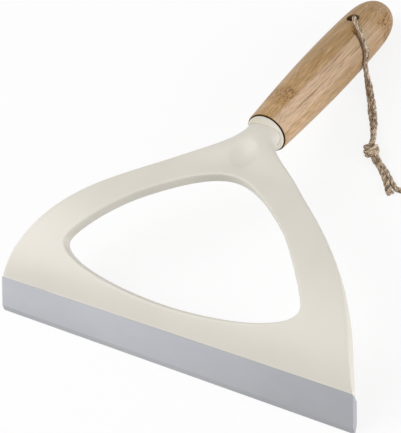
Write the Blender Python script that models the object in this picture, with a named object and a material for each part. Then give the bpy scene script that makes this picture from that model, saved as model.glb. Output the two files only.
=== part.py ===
"""Squeegee: an arched plastic head, a rubber blade, a turned bamboo handle and a twine hanging loop.

The squeegee is drawn upright in its own frame: X along the blade, Y from the blade to the handle's
end, Z up, with the zero point in the middle of the line where the blade meets the head. It is then
laid down on the blade's lip and the handle's end, the way it lies on a table. Lengths are in metres.
"""

import math

import bmesh
import bpy
from mathutils import Matrix, Vector

MM = 0.001

# Blade: a rubber strip whose root is keyed into the head's lower edge
BLADE_LENGTH = 250 * MM
BLADE_THICKNESS = 4.0 * MM
BLADE_DROP = 23.8 * MM
FRONT_BEVEL = 4.0 * MM
BACK_BEVEL = 5.0 * MM
LIP_SETBACK = 1.6 * MM
LIP_LAND = 0.6 * MM
TONGUE_THICKNESS = 1.2 * MM
TONGUE_HEIGHT = 4.6 * MM
BEAD_RADIUS = 0.9 * MM
TONGUE_END_MARGIN = 6.0 * MM
BOND_GAP = 0.3 * MM
JOINT_RISE = 0.6 * MM

# Head, seen from the side: a plate that curls down into the blade, as arcs (length, slope at its end)
PLATE = 7.2 * MM
THICKEN_OVER = 30 * MM
FRONT_SLOPE = math.radians(70.8)
CURL_ARC = (20 * MM, math.radians(42.5))
BROW_ARC = (25 * MM, math.radians(28.6))
BACK_ARC = (30 * MM, math.radians(12.5))
SHOULDER_ARC = (35 * MM, math.radians(9.8))
PROFILE_ARCS = (CURL_ARC, BROW_ARC, BACK_ARC, SHOULDER_ARC)
HEEL_DROP = 5.4 * MM
EDGE_ROUND = 1.4 * MM

# Head, seen flat: the flanks run from the blade's ends to the shoulders, then round into the neck
SHOULDER_HALF_WIDTH = 42.7 * MM
FLANK_FOOT_HEADING = math.radians(12.9)
FLANK_TOP_HEADING = math.radians(48.2)
FLANK_FOOT_PULL = 65.5 * MM
FLANK_TOP_PULL = 33.8 * MM
NECK_FOOT_PULL = 13.5 * MM
NECK_TOP_PULL = 11.5 * MM

# Window between the arms
BAR_HEIGHT = 14.6 * MM
ARM_FOOT = 42 * MM
WINDOW_WIDEST_AT = 35 * MM
ARM_WIDTH = 19.8 * MM
WINDOW_CROWN = 5.2 * MM
SHOULDER_STATION = 0.78
FLOOR_PULL = 33 * MM
CORNER_LOW_PULL = 12.7 * MM
CORNER_HIGH_PULL = 6 * MM
ARM_LOW_PULL = 14 * MM
ARM_HIGH_PULL = 10.2 * MM
CROWN_PULL = 19 * MM

# Neck, thumb hollow, collar and spigot
AXIS_HEIGHT = 50 * MM
NECK_LENGTH = 31.0 * MM
NECK_HALF_WIDTH = 11.2 * MM
NECK_HALF_HEIGHT = 8.9 * MM
NECK_LIFT = 0.7 * MM
THUMB_AT = 10.5 * MM
THUMB_HALF_WIDTH = 10 * MM
THUMB_HALF_LENGTH = 11 * MM
THUMB_DEPTH = 1.8 * MM
THUMB_RIM = 3.0
COLLAR_LENGTH = 4.9 * MM
COLLAR_FOOT_RADIUS = 10.0 * MM
COLLAR_STEP = 0.5 * MM
COLLAR_RADIUS = 12.6 * MM
COLLAR_RIM = 0.6 * MM
SPIGOT_RADIUS = 9.0 * MM
SPIGOT_LENGTH = 30 * MM
SPIGOT_CHAMFER = 1.2 * MM
GLUE_GROOVES = 4
GROOVE_DEPTH = 0.5 * MM
GROOVE_WIDTH = 1.6 * MM

# Handle: one turned bamboo bar with a blind bore at the front and a hanging hole near the end
HANDLE_LENGTH = 147 * MM
HANDLE_FRONT_RADIUS = 13.6 * MM
BELLY_RADIUS = 16.5 * MM
BELLY_AT = 83 * MM
TAIL_RADIUS = 14.7 * MM
DOME_LENGTH = 28.6 * MM
DOME_POWER = 2.85
FRONT_CHAMFER = 0.7 * MM
SPIGOT_CLEARANCE = 0.3 * MM
COLLAR_CLEARANCE = 0.3 * MM
BORE_END_CLEARANCE = 1.0 * MM
HANGING_HOLE_RADIUS = 4.0 * MM
HANGING_HOLE_EASE = 0.8 * MM
HANGING_HOLE_FROM_END = 35.5 * MM

# Twine: the loop's two strands leave the knot together, go round the handle and meet in its hole.
# The route's points lie where the twine rests on the table and the handle, in millimetres.
TWINE_RADIUS = 1.4 * MM
KNOT_CENTRE = (46.3, 34.6, 5.0)
KNOT_RADII = (5.0 * MM, 4.9 * MM, 4.8 * MM)
KNOT_TURNS = 3
KNOT_TURN_HEIGHT = 0.35 * MM
OVER_STRAND = (
    (44.8, 39.1, 6.5),
    (43.4, 43.0, 6.1),
    (41.6, 46.8, 5.2),
    (38.8, 52.8, 4.4),
    (36.5, 57.9, 3.6),
    (33.9, 62.9, 2.4),
    (30.8, 69.0, 1.6),
    (27.2, 74.9, 1.6),
    (23.9, 80.2, 2.8),
    (21.0, 84.6, 6.0),
    (19.2, 87.3, 10.0),
    (18.5, 88.8, 14.5),
    (18.4, 90.2, 19.5),
    (18.2, 92.0, 25.0),
    (16.8, 94.9, 30.0),
    (13.8, 98.6, 33.4),
    (10.6, 102.6, 35.6),
    (7.0, 107.2, 36.6),
    (2.6, 112.0, 36.7),
    (0.5, 114.1, 35.9),
    (-1.0, 115.3, 33.8),
    (-1.5, 115.3, 31.0),
)
UNDER_STRAND = (
    (-1.5, 112.6, 18.0),
    (-1.4, 109.9, 6.0),
    (-1.0, 109.0, 3.8),
    (0.1, 107.4, 2.2),
    (1.6, 105.6, 1.5),
    (6.0, 102.0, 1.5),
    (12.1, 92.5, 1.4),
    (16.6, 85.5, 1.4),
    (20.8, 79.0, 1.4),
    (24.6, 73.3, 1.4),
    (28.0, 67.3, 1.4),
    (31.3, 61.5, 1.4),
    (34.8, 56.9, 1.4),
    (38.1, 52.4, 1.5),
    (41.4, 46.5, 2.0),
    (43.3, 43.0, 2.9),
    (44.8, 39.1, 3.4),
)
SHORT_TAIL = (
    (49.6, 30.9, 3.7),
    (52.2, 28.3, 2.2),
    (56.0, 25.2, 1.5),
    (62.4, 18.7, 1.5),
    (71.0, 8.6, 1.5),
)
LONG_TAIL = (
    (51.5, 33.6, 4.4),
    (54.2, 31.2, 2.5),
    (60.7, 25.1, 1.5),
    (67.3, 18.9, 1.5),
    (72.8, 13.8, 1.5),
    (76.0, 12.4, 1.5),
    (78.7, 13.1, 1.5),
    (81.0, 14.8, 1.5),
)

# Facet counts
BAR_COLUMNS = 12
FLANK_COLUMNS = 17
CROWN_COLUMNS = 10
FACE_ROWS = 5
ROUND_STEPS = 3
NECK_ROWS = 15
HANDLE_SIDES = 48
HANDLE_RINGS = 22
DOME_RINGS = 9
BEAD_STEPS = 8
RIM_STEPS = 3
HOLE_SIDES = 28
TWINE_STEP = 3.6 * MM
KNOT_SIDES = 18
KNOT_ROWS = 11

# Where the mesh's corner and crown columns meet the window's three curves, numbered 0 to 3
CORNER_U = 0.86
CROWN_U = 2.45
LAST_U = 3
FLAT_ANGLE = math.radians(60)
CUT_OVERRUN = 1 * MM


def clear_scene():
    """Remove every object from the open scene."""
    for old in list(bpy.data.objects):
        bpy.data.objects.remove(old, do_unlink=True)


def make_material(name, colour, roughness, specular=0.5):
    """A Principled material of one colour."""
    material = bpy.data.materials.new(name)
    material.use_nodes = True
    shader = material.node_tree.nodes["Principled BSDF"]
    shader.inputs["Base Color"].default_value = (*colour, 1.0)
    shader.inputs["Roughness"].default_value = roughness
    shader.inputs["Metallic"].default_value = 0.0
    shader.inputs["Specular IOR Level"].default_value = specular
    return material


def add_object(name, mesh, material, parent=None):
    """Link a mesh into the scene under its part name."""
    part = bpy.data.objects.new(name, mesh)
    bpy.context.scene.collection.objects.link(part)
    if material is not None:
        mesh.materials.append(material)
    part.parent = parent
    return part


def finish_mesh(name, bm, sharp_angle=35):
    """Turn a bmesh into a smooth-shaded mesh with its normals outward."""
    bmesh.ops.remove_doubles(bm, verts=bm.verts, dist=1e-7)
    bmesh.ops.recalc_face_normals(bm, faces=bm.faces)
    mesh = bpy.data.meshes.new(name)
    bm.to_mesh(mesh)
    bm.free()
    mesh.shade_smooth()
    mesh.set_sharp_from_angle(angle=math.radians(sharp_angle))
    return mesh


def bezier_point(start, start_handle, end_handle, end, t):
    """The point at t on a cubic curve."""
    u = 1 - t
    return (
        start * u**3
        + start_handle * 3 * u * u * t
        + end_handle * 3 * u * t * t
        + end * t**3
    )


def bezier_heading(start, start_handle, end_handle, end, t):
    """The unit direction of a cubic curve at t."""
    u = 1 - t
    slope = (start_handle - start) * u * u
    slope += (end_handle - start_handle) * 2 * u * t
    slope += (end - end_handle) * t * t
    return slope.normalized()


def to_the_right(direction):
    """A flat direction turned a quarter turn to the right."""
    return Vector((direction.y, -direction.x))


def smooth(t):
    """An S-shaped rise from 0 to 1."""
    t = min(max(t, 0.0), 1.0)
    return t * t * (3 - 2 * t)


def add_ring(bm, points):
    """New vertices at the points."""
    return [bm.verts.new(point) for point in points]


def join_rings(bm, ring, next_ring):
    """Quads between two closed rings of the same count."""
    count = len(ring)
    for i in range(count):
        j = (i + 1) % count
        bm.faces.new((ring[i], ring[j], next_ring[j], next_ring[i]))


# Side profile of the head
SHOULDER_AT = sum(length for length, _ in PROFILE_ARCS)


def profile_at(s):
    """Y, Z and slope of the plate's front face at distance s from the blade line."""
    y, z, slope = 0.0, 0.0, FRONT_SLOPE
    if s <= 0:
        return s * math.cos(slope), s * math.sin(slope), slope
    for length, end_slope in PROFILE_ARCS:
        run = min(s, length)
        turn = (end_slope - slope) / length
        here = slope + turn * run
        y += (math.sin(here) - math.sin(slope)) / turn
        z -= (math.cos(here) - math.cos(slope)) / turn
        slope = here
        s -= run
        if s <= 0:
            return y, z, slope
    return y + s * math.cos(slope), z + s * math.sin(slope), slope


def under_front(x, s, depth):
    """The point at a depth under the front face, from its place on the flat pattern."""
    y, z, slope = profile_at(s)
    return Vector((x, y + depth * math.sin(slope), z - depth * math.cos(slope)))


def plate_at(s):
    """Thickness of the head's plate, which is thinner at the blade than at the arms."""
    return BLADE_THICKNESS + (PLATE - BLADE_THICKNESS) * smooth(s / THICKEN_OVER)


def edge_depth(s, step):
    """Depth of one edge step where the plate may be thinner: the back steps move forward with it."""
    return step if step < PLATE / 2 else step - (PLATE - plate_at(s))


def in_plate(x, s, step):
    """A point of the head, from its place on the flat pattern and an edge step of the full plate."""
    return under_front(x, s, edge_depth(s, step))


SHOULDER_Y, SHOULDER_Z, SHOULDER_SLOPE = profile_at(SHOULDER_AT)
NECK_END_AT = SHOULDER_AT + NECK_LENGTH / math.cos(SHOULDER_SLOPE)
COLLAR_FOOT_Y = SHOULDER_Y + NECK_LENGTH
COLLAR_BACK_Y = COLLAR_FOOT_Y + COLLAR_LENGTH
HANDLE_FRONT_Y = COLLAR_BACK_Y + COLLAR_CLEARANCE


def heading(angle):
    """A unit direction on the flat pattern, turned from straight up towards the middle."""
    return Vector((-math.sin(angle), math.cos(angle)))


# How far the joint with the blade falls for each unit of depth
HEEL_FALL = HEEL_DROP / BLADE_THICKNESS

# Flat pattern of the head: right half, as (x, s)
FOOT = Vector((BLADE_LENGTH / 2, 0.0))
SHOULDER = Vector((SHOULDER_HALF_WIDTH, SHOULDER_AT))
NECK_END = Vector((NECK_HALF_WIDTH, NECK_END_AT))
FLANK = (
    FOOT,
    FOOT + heading(FLANK_FOOT_HEADING) * FLANK_FOOT_PULL,
    SHOULDER - heading(FLANK_TOP_HEADING) * FLANK_TOP_PULL,
    SHOULDER,
)
NECK_SIDE = (
    SHOULDER,
    SHOULDER + heading(FLANK_TOP_HEADING) * NECK_FOOT_PULL,
    NECK_END - heading(0) * NECK_TOP_PULL,
    NECK_END,
)


def window_curves():
    """The three cubic curves of the window's right half: floor and corner, arm, crown."""
    floor = Vector((0.0, BAR_HEIGHT))
    widest = Vector((BLADE_LENGTH / 2 - ARM_FOOT, WINDOW_WIDEST_AT))
    along = bezier_heading(*FLANK, SHOULDER_STATION)
    arm = bezier_point(*FLANK, SHOULDER_STATION) - to_the_right(along) * ARM_WIDTH
    crown = Vector((0.0, SHOULDER_AT - WINDOW_CROWN))
    sideways = Vector((1.0, 0.0))
    up = Vector((0.0, 1.0))
    return (
        (floor, floor + sideways * FLOOR_PULL, widest - up * CORNER_LOW_PULL, widest),
        (widest, widest + up * CORNER_HIGH_PULL, arm - along * ARM_LOW_PULL, arm),
        (arm, arm + along * ARM_HIGH_PULL, crown + sideways * CROWN_PULL, crown),
    )


WINDOW = window_curves()


def window_at(u):
    """Point of the window's edge and the direction from it into the plate, u from 0 to 3."""
    piece = min(int(u), LAST_U - 1)
    point = bezier_point(*WINDOW[piece], u - piece)
    return point, to_the_right(bezier_heading(*WINDOW[piece], u - piece))


def edge_steps():
    """Inset and depth of the points round an outer edge, from the front face to the back face."""
    steps = []
    for i in range(ROUND_STEPS + 1):
        angle = math.pi / 2 * (1 - i / ROUND_STEPS)
        inset = EDGE_ROUND * (1 - math.cos(angle))
        steps.append((inset, EDGE_ROUND * (1 - math.sin(angle))))
    return steps + [(inset, PLATE - depth) for inset, depth in reversed(steps)]


EDGE_STEPS = edge_steps()


def outer_edge(stretch, t):
    """The points of the head's outer edge at t along one stretch, as (x, s, depth)."""
    if stretch == "bar" or t == 0:
        share = t if stretch == "bar" else 1.0
        return [
            (share * (FOOT.x - inset), JOINT_RISE - HEEL_FALL * edge_depth(0, step), step)
            for inset, step in EDGE_STEPS
        ]
    if stretch == "crown":
        side = outer_edge("flank", 1.0)
        front, back = side[0], side[-1]
        return [(front[0] * (1 - t), front[1], 0.0), (back[0] * (1 - t), back[1], PLATE)]
    point = bezier_point(*FLANK, t)
    outward = to_the_right(bezier_heading(*FLANK, t))
    return [(*(point - outward * inset), depth) for inset, depth in EDGE_STEPS]


def inner_edge(u):
    """The points of the window's edge at u, from the back face to the front face."""
    point, outward = window_at(u)
    return [(*(point + outward * inset), depth) for inset, depth in reversed(EDGE_STEPS)]


def half_columns():
    """Stretch, place on the outer edge and place on the window for each column of the right half."""
    columns = []
    for i in range(BAR_COLUMNS):
        t = i / BAR_COLUMNS
        columns.append(("bar", t, CORNER_U * t))
    for i in range(FLANK_COLUMNS + 1):
        t = i / FLANK_COLUMNS
        columns.append(("flank", t, CORNER_U + (CROWN_U - CORNER_U) * t))
    for i in range(1, CROWN_COLUMNS + 1):
        t = i / CROWN_COLUMNS
        columns.append(("crown", t, CROWN_U + (LAST_U - CROWN_U) * t))
    return columns


def face_row(inner, outer):
    """Points of a flat face between its two edges."""
    row = []
    for i in range(1, FACE_ROWS):
        share = i / FACE_ROWS
        row.append(tuple(a + (b - a) * share for a, b in zip(inner, outer)))
    return row


def band_ring(side, stretch, t, u):
    """The closed section of the band round the window at one column."""
    inner = inner_edge(u)
    outer = outer_edge(stretch, t)
    front = face_row(inner[-1], outer[0])
    back = face_row(outer[-1], inner[0])
    path = inner + front + outer + back
    return [in_plate(side * x, s, depth) for x, s, depth in path]


def join_columns(bm, ring, next_ring):
    """Faces between two columns of the band, leaving the neck's side open."""
    front_end = len(EDGE_STEPS) + FACE_ROWS - 1
    if len(ring) == len(next_ring) == front_end + len(EDGE_STEPS) + FACE_ROWS - 1:
        join_rings(bm, ring, next_ring)
        return
    for k in range(front_end):
        bm.faces.new((ring[k], ring[k + 1], next_ring[k + 1], next_ring[k]))
    for k in range(-FACE_ROWS, 0):
        bm.faces.new((ring[k], ring[k + 1], next_ring[k + 1], next_ring[k]))


def neck_base(columns, rings):
    """The open loop of the band that the neck grows from, in the order of the neck's sections."""
    front_end = len(EDGE_STEPS) + FACE_ROWS - 1
    crown = []
    sides = {}
    for (side, stretch, t, _), ring in zip(columns, rings):
        if stretch == "crown":
            crown.append((side * (1 - t), ring))
        if stretch == "flank" and t == 1:
            sides[side] = ring[front_end : front_end + len(EDGE_STEPS)]
    crown.sort(key=lambda entry: entry[0])
    front = [ring[front_end] for _, ring in crown]
    back = [ring[front_end + 1] for _, ring in crown]
    return front + sides[1] + back[::-1] + sides[-1][::-1]


def section_turns():
    """For each point round the neck: side, share of the width, inset, depth and angle when round."""
    side_angle = math.pi / 2 - FLAT_ANGLE
    edge_count = len(EDGE_STEPS) - 1
    turns = []
    for i in range(1 - CROWN_COLUMNS, CROWN_COLUMNS):
        share = i / CROWN_COLUMNS
        turns.append((0, share, EDGE_STEPS[0][0], 0.0, math.pi / 2 - share * FLAT_ANGLE))
    for i, (inset, depth) in enumerate(EDGE_STEPS):
        angle = side_angle * (1 - 2 * i / edge_count)
        turns.append((1, 1.0, inset, depth, angle))
    for i in range(CROWN_COLUMNS - 1, -CROWN_COLUMNS, -1):
        share = i / CROWN_COLUMNS
        turns.append((0, share, EDGE_STEPS[0][0], PLATE, share * FLAT_ANGLE - math.pi / 2))
    for i, (inset, depth) in enumerate(reversed(EDGE_STEPS)):
        angle = math.pi + side_angle * (1 - 2 * i / edge_count)
        turns.append((-1, 1.0, inset, depth, angle))
    return turns


def thumb_hollow(x, y):
    """Depth of the thumb hollow at a point of the neck's upper face."""
    across = x / THUMB_HALF_WIDTH
    along = (y - SHOULDER_Y - THUMB_AT) / THUMB_HALF_LENGTH
    inside = 1 - across * across - along * along
    return THUMB_DEPTH * max(inside, 0.0) * smooth(THUMB_RIM * inside)


def cone_y(radius):
    """Where the collar's cone has a radius, no lower than its foot."""
    rise = (radius - COLLAR_FOOT_RADIUS) / (COLLAR_RADIUS - COLLAR_FOOT_RADIUS)
    return COLLAR_FOOT_Y + COLLAR_LENGTH * max(rise, 0.0)


def neck_section(t, turns):
    """The closed section of the neck at t from the shoulder (0) to the collar (1)."""
    point = bezier_point(*NECK_SIDE, t)
    outward = to_the_right(bezier_heading(*NECK_SIDE, t))
    rise = (point.y - SHOULDER_AT) / (NECK_END_AT - SHOULDER_AT)
    roundness = smooth(rise)
    round_y = SHOULDER_Y + NECK_LENGTH * rise
    section = []
    for side, share, inset, depth, angle in turns:
        x = point.x - outward.x * inset
        s = point.y - outward.y * inset
        flat = in_plate((side or share) * x, s, depth)
        round_z = AXIS_HEIGHT + NECK_LIFT + NECK_HALF_HEIGHT * math.sin(angle)
        full = Vector((point.x * math.cos(angle), round_y, round_z))
        if t == 1:
            full.y = cone_y(math.hypot(full.x, full.z - AXIS_HEIGHT) + COLLAR_STEP)
        place = flat.lerp(full, roundness)
        if math.sin(angle) > 0:
            place.z -= thumb_hollow(place.x, place.y)
        section.append(place)
    return section


def collar_foot(turns):
    """Points on the collar's cone a small step outside the neck's end."""
    points = []
    for end in neck_section(1.0, turns):
        across, up = end.x, end.z - AXIS_HEIGHT
        reach = math.hypot(across, up)
        share = max(reach + COLLAR_STEP, COLLAR_FOOT_RADIUS) / reach
        points.append(Vector((across * share, end.y, AXIS_HEIGHT + up * share)))
    return points


def circle_section(turns, radius, y):
    """Points on a circle round the handle's axis, at the angles of the neck's points."""
    points = []
    for *_, angle in turns:
        across = radius * math.cos(angle)
        points.append(Vector((across, y, AXIS_HEIGHT + radius * math.sin(angle))))
    return points


def spigot_profile():
    """Radius and Y of the collar's rim and the spigot, up to the spigot's end."""
    profile = []
    for i in range(RIM_STEPS + 1):
        angle = math.pi / 2 * i / RIM_STEPS
        radius = COLLAR_RADIUS - COLLAR_RIM * (1 - math.cos(angle))
        profile.append((radius, COLLAR_BACK_Y - COLLAR_RIM * (1 - math.sin(angle))))
    profile.append((SPIGOT_RADIUS, COLLAR_BACK_Y))
    pitch = (SPIGOT_LENGTH - SPIGOT_CHAMFER) / (GLUE_GROOVES + 1)
    for i in range(GLUE_GROOVES):
        y = COLLAR_BACK_Y + pitch * (i + 1)
        profile.append((SPIGOT_RADIUS, y - GROOVE_WIDTH / 2))
        profile.append((SPIGOT_RADIUS - GROOVE_DEPTH, y))
        profile.append((SPIGOT_RADIUS, y + GROOVE_WIDTH / 2))
    spigot_end = COLLAR_BACK_Y + SPIGOT_LENGTH
    profile.append((SPIGOT_RADIUS, spigot_end - SPIGOT_CHAMFER))
    profile.append((SPIGOT_RADIUS - SPIGOT_CHAMFER, spigot_end))
    return profile


def keyed_tongue(slack, foot):
    """Outline of the blade's tongue or of its slot, as (distance below the blade line, depth)."""
    middle = BLADE_THICKNESS / 2
    half = TONGUE_THICKNESS / 2 + slack
    radius = BEAD_RADIUS + slack
    start = math.asin(half / radius)
    outline = [(foot, middle + half)]
    for i in range(BEAD_STEPS + 1):
        angle = start + (2 * math.pi - 2 * start) * i / BEAD_STEPS
        down = -TONGUE_HEIGHT + radius * math.cos(angle)
        outline.append((down, middle + radius * math.sin(angle)))
    outline.append((foot, middle - half))
    return outline


def along_blade(name, outline, half_length):
    """A bar of constant outline along the blade, given as (distance below the blade line, depth)."""
    bm = bmesh.new()
    start = [bm.verts.new(under_front(-half_length, -down, depth)) for down, depth in outline]
    bm.faces.new(start)
    extruded = bmesh.ops.extrude_face_region(bm, geom=bm.faces[:])
    moved = [part for part in extruded["geom"] if isinstance(part, bmesh.types.BMVert)]
    bmesh.ops.translate(bm, verts=moved, vec=(2 * half_length, 0, 0))
    return finish_mesh(name, bm)


def hidden_tool(name, mesh, parent):
    """An object that only cuts or joins others."""
    tool = add_object(name, mesh, None, parent)
    tool.hide_render = True
    tool.display_type = "WIRE"
    return tool


def combine(part, tool, operation):
    """A live Boolean between a part and a hidden tool."""
    modifier = part.modifiers.new(tool.name, "BOOLEAN")
    modifier.operation = operation
    modifier.solver = "EXACT"
    modifier.object = tool


def build_head(material, parent):
    """The moulded head: plate round the window, neck, collar and spigot, slotted for the blade."""
    bm = bmesh.new()
    half = half_columns()
    columns = [(1, *column) for column in half]
    columns += [(-1, *column) for column in reversed(half[1:-1])]
    rings = [add_ring(bm, band_ring(*column)) for column in columns]
    for i, ring in enumerate(rings):
        join_columns(bm, ring, rings[(i + 1) % len(rings)])

    turns = section_turns()
    ring = neck_base(columns, rings)
    for row in range(1, NECK_ROWS + 1):
        next_ring = add_ring(bm, neck_section(row / NECK_ROWS, turns))
        join_rings(bm, ring, next_ring)
        ring = next_ring
    sections = [collar_foot(turns)]
    sections += [circle_section(turns, radius, y) for radius, y in spigot_profile()]
    for section in sections:
        next_ring = add_ring(bm, section)
        join_rings(bm, ring, next_ring)
        ring = next_ring
    bm.faces.new(ring)
    head = add_object("head_frame", finish_mesh("head_frame", bm), material, parent)
    slot_outline = keyed_tongue(BOND_GAP, HEEL_DROP + CUT_OVERRUN)
    slot_half = BLADE_LENGTH / 2 - TONGUE_END_MARGIN + BOND_GAP
    slot = along_blade("blade_slot_cutter", slot_outline, slot_half)
    combine(head, hidden_tool("blade_slot_cutter", slot, parent), "DIFFERENCE")
    return head


def build_blade(material, parent):
    """The rubber blade: a flat strip with a lip bevelled on both faces and a beaded tongue."""
    top = BOND_GAP * math.hypot(1, HEEL_FALL) - JOINT_RISE
    outline = [
        (top, 0.0),
        (BLADE_DROP - FRONT_BEVEL, 0.0),
        (BLADE_DROP, LIP_SETBACK),
        (BLADE_DROP, LIP_SETBACK + LIP_LAND),
        (BLADE_DROP - BACK_BEVEL, BLADE_THICKNESS),
        (top + HEEL_FALL * BLADE_THICKNESS, BLADE_THICKNESS),
    ]
    mesh = along_blade("squeegee_blade", outline, BLADE_LENGTH / 2)
    blade = add_object("squeegee_blade", mesh, material, parent)
    tongue_foot = top + HEEL_FALL * BLADE_THICKNESS
    tongue_half = BLADE_LENGTH / 2 - TONGUE_END_MARGIN
    tongue = along_blade("blade_tongue", keyed_tongue(0.0, tongue_foot), tongue_half)
    combine(blade, hidden_tool("blade_tongue", tongue, parent), "UNION")
    return blade


def handle_radius(along):
    """Radius of the turned handle at a distance from its front end, before the end's dome."""
    if along < BELLY_AT:
        swell = math.sin(math.pi / 2 * along / BELLY_AT)
        return HANDLE_FRONT_RADIUS + (BELLY_RADIUS - HANDLE_FRONT_RADIUS) * swell
    fall = (along - BELLY_AT) / (HANDLE_LENGTH - BELLY_AT)
    return BELLY_RADIUS - (BELLY_RADIUS - TAIL_RADIUS) * fall * fall


def handle_outside():
    """Radius and distance from the front end of the handle's outside, up to the point of its dome."""
    profile = [(HANDLE_FRONT_RADIUS - FRONT_CHAMFER, 0.0)]
    dome_start = HANDLE_LENGTH - DOME_LENGTH
    for i in range(HANDLE_RINGS):
        along = FRONT_CHAMFER + (dome_start - FRONT_CHAMFER) * i / HANDLE_RINGS
        profile.append((handle_radius(along), along))
    for i in range(DOME_RINGS):
        angle = math.pi / 2 * i / DOME_RINGS
        along = dome_start + DOME_LENGTH * math.sin(angle) ** (2 / DOME_POWER)
        profile.append((handle_radius(along) * math.cos(angle) ** (2 / DOME_POWER), along))
    profile.append((0.0, HANDLE_LENGTH))
    return profile


def turned(name, profile, sides, place):
    """A turned solid whose profile of (radius, height) starts and ends on its axis."""
    bm = bmesh.new()
    rings = []
    for radius, height in profile:
        if radius == 0:
            rings.append([bm.verts.new((0, 0, height))])
            continue
        turn = 2 * math.pi / sides
        ring = [
            (radius * math.cos(turn * i), radius * math.sin(turn * i), height)
            for i in range(sides)
        ]
        rings.append(add_ring(bm, ring))
    for ring, next_ring in zip(rings, rings[1:]):
        if len(ring) == len(next_ring):
            join_rings(bm, ring, next_ring)
            continue
        pole, rim = (ring, next_ring) if len(ring) == 1 else (next_ring, ring)
        for i, vertex in enumerate(rim):
            bm.faces.new((pole[0], vertex, rim[(i + 1) % sides]))
    bmesh.ops.transform(bm, matrix=place, verts=bm.verts)
    return finish_mesh(name, bm)


def build_handle(material, parent):
    """The bamboo handle, bored for the spigot and drilled across for the loop."""
    bore_radius = SPIGOT_RADIUS + SPIGOT_CLEARANCE
    bore_depth = SPIGOT_LENGTH - COLLAR_CLEARANCE + BORE_END_CLEARANCE
    profile = [(0.0, bore_depth), (bore_radius, bore_depth), (bore_radius, 0.0)]
    profile += handle_outside()
    lay_back = Matrix.Rotation(-math.pi / 2, 4, "X")
    place = Matrix.Translation((0, HANDLE_FRONT_Y, AXIS_HEIGHT)) @ lay_back
    mesh = turned("bamboo_handle", profile, HANDLE_SIDES, place)
    handle = add_object("bamboo_handle", mesh, material, parent)

    hole_along = HANDLE_LENGTH - HANGING_HOLE_FROM_END
    reach = handle_radius(hole_along)
    flare = HANGING_HOLE_RADIUS + HANGING_HOLE_EASE + CUT_OVERRUN
    drill = [
        (0.0, -reach - CUT_OVERRUN),
        (flare, -reach - CUT_OVERRUN),
        (HANGING_HOLE_RADIUS, -reach + HANGING_HOLE_EASE),
        (HANGING_HOLE_RADIUS, reach - HANGING_HOLE_EASE),
        (flare, reach + CUT_OVERRUN),
        (0.0, reach + CUT_OVERRUN),
    ]
    stand_in_bar = Matrix.Translation((0, HANDLE_FRONT_Y + hole_along, AXIS_HEIGHT))
    cutter = turned("hanging_hole_cutter", drill, HOLE_SIDES, stand_in_bar)
    combine(handle, hidden_tool("hanging_hole_cutter", cutter, parent), "DIFFERENCE")
    return handle


def smooth_route(points, step):
    """Points about one step apart on a smooth curve through a route's points."""
    knots = [Vector(point) * MM for point in points]
    knots.insert(0, knots[0] * 2 - knots[1])
    knots.append(knots[-1] * 2 - knots[-2])
    path = []
    for before, start, end, after in zip(knots, knots[1:], knots[2:], knots[3:]):
        reach = (end - start).length
        leave = (end - before).normalized() * reach / 3
        arrive = (after - start).normalized() * reach / 3
        count = max(1, round(reach / step))
        for i in range(count):
            path.append(bezier_point(start, start + leave, end - arrive, end, i / count))
    return path + [knots[-2]]


def build_twine(name, points, material):
    """A free stretch of twine as a tube along its route."""
    curve = bpy.data.curves.new(name, "CURVE")
    curve.dimensions = "3D"
    curve.bevel_depth = TWINE_RADIUS
    curve.bevel_resolution = 2
    curve.use_fill_caps = True
    path = smooth_route(points, TWINE_STEP)
    spline = curve.splines.new("POLY")
    spline.points.add(len(path) - 1)
    for spline_point, place in zip(spline.points, path):
        spline_point.co = (*place, 1.0)
    curve.materials.append(material)
    twine = bpy.data.objects.new(name, curve)
    bpy.context.scene.collection.objects.link(twine)
    return twine


def build_knot(material):
    """The overhand knot as a rounded lump with its turns of twine as low ridges."""
    bm = bmesh.new()
    rows = []
    for i in range(KNOT_ROWS + 1):
        polar = math.pi * i / KNOT_ROWS
        ring = []
        for j in range(1 if i in (0, KNOT_ROWS) else KNOT_SIDES):
            turn = 2 * math.pi * j / KNOT_SIDES
            ridge = KNOT_TURN_HEIGHT * math.sin(polar) * (math.cos(KNOT_TURNS * turn + 2 * polar) - 1)
            spread = (math.sin(polar) * math.cos(turn), math.sin(polar) * math.sin(turn), math.cos(polar))
            ring.append([part * (radius + ridge) for part, radius in zip(spread, KNOT_RADII)])
        rows.append(add_ring(bm, ring))
    for row, next_row in zip(rows[1:-2], rows[2:-1]):
        join_rings(bm, row, next_row)
    for pole, rim in ((rows[0], rows[1]), (rows[-1], rows[-2])):
        for j, vertex in enumerate(rim):
            bm.faces.new((pole[0], vertex, rim[(j + 1) % KNOT_SIDES]))
    bmesh.ops.translate(bm, verts=bm.verts, vec=Vector(KNOT_CENTRE) * MM)
    return add_object("twine_knot", finish_mesh("twine_knot", bm), material)


def lying_angle():
    """How far the squeegee tips back to lie on the blade's lip and the handle's end."""
    lip = []
    for setback in (LIP_SETBACK, LIP_SETBACK + LIP_LAND):
        corner = under_front(0, -BLADE_DROP, setback)
        lip.append((corner.y, corner.z))
    tail = [(HANDLE_FRONT_Y + along, AXIS_HEIGHT - radius) for radius, along in handle_outside()]
    angle = 0.0
    for _ in range(4):
        foot = min(lip, key=lambda p: p[1] * math.cos(angle) - p[0] * math.sin(angle))
        angle = min(math.atan2(z - foot[1], y - foot[0]) for y, z in tail)
    return angle


def lay_down(parts, root):
    """Turn the root to the lying angle and put the zero point under the middle of the parts."""
    turn = Matrix.Rotation(-lying_angle(), 4, "X")
    points = [turn @ vertex.co for part in parts for vertex in part.data.vertices]
    low_y = min(point.y for point in points)
    high_y = max(point.y for point in points)
    low_z = min(point.z for point in points)
    root.rotation_euler = turn.to_euler()
    root.location = (0, -(low_y + high_y) / 2, -low_z)


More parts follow.
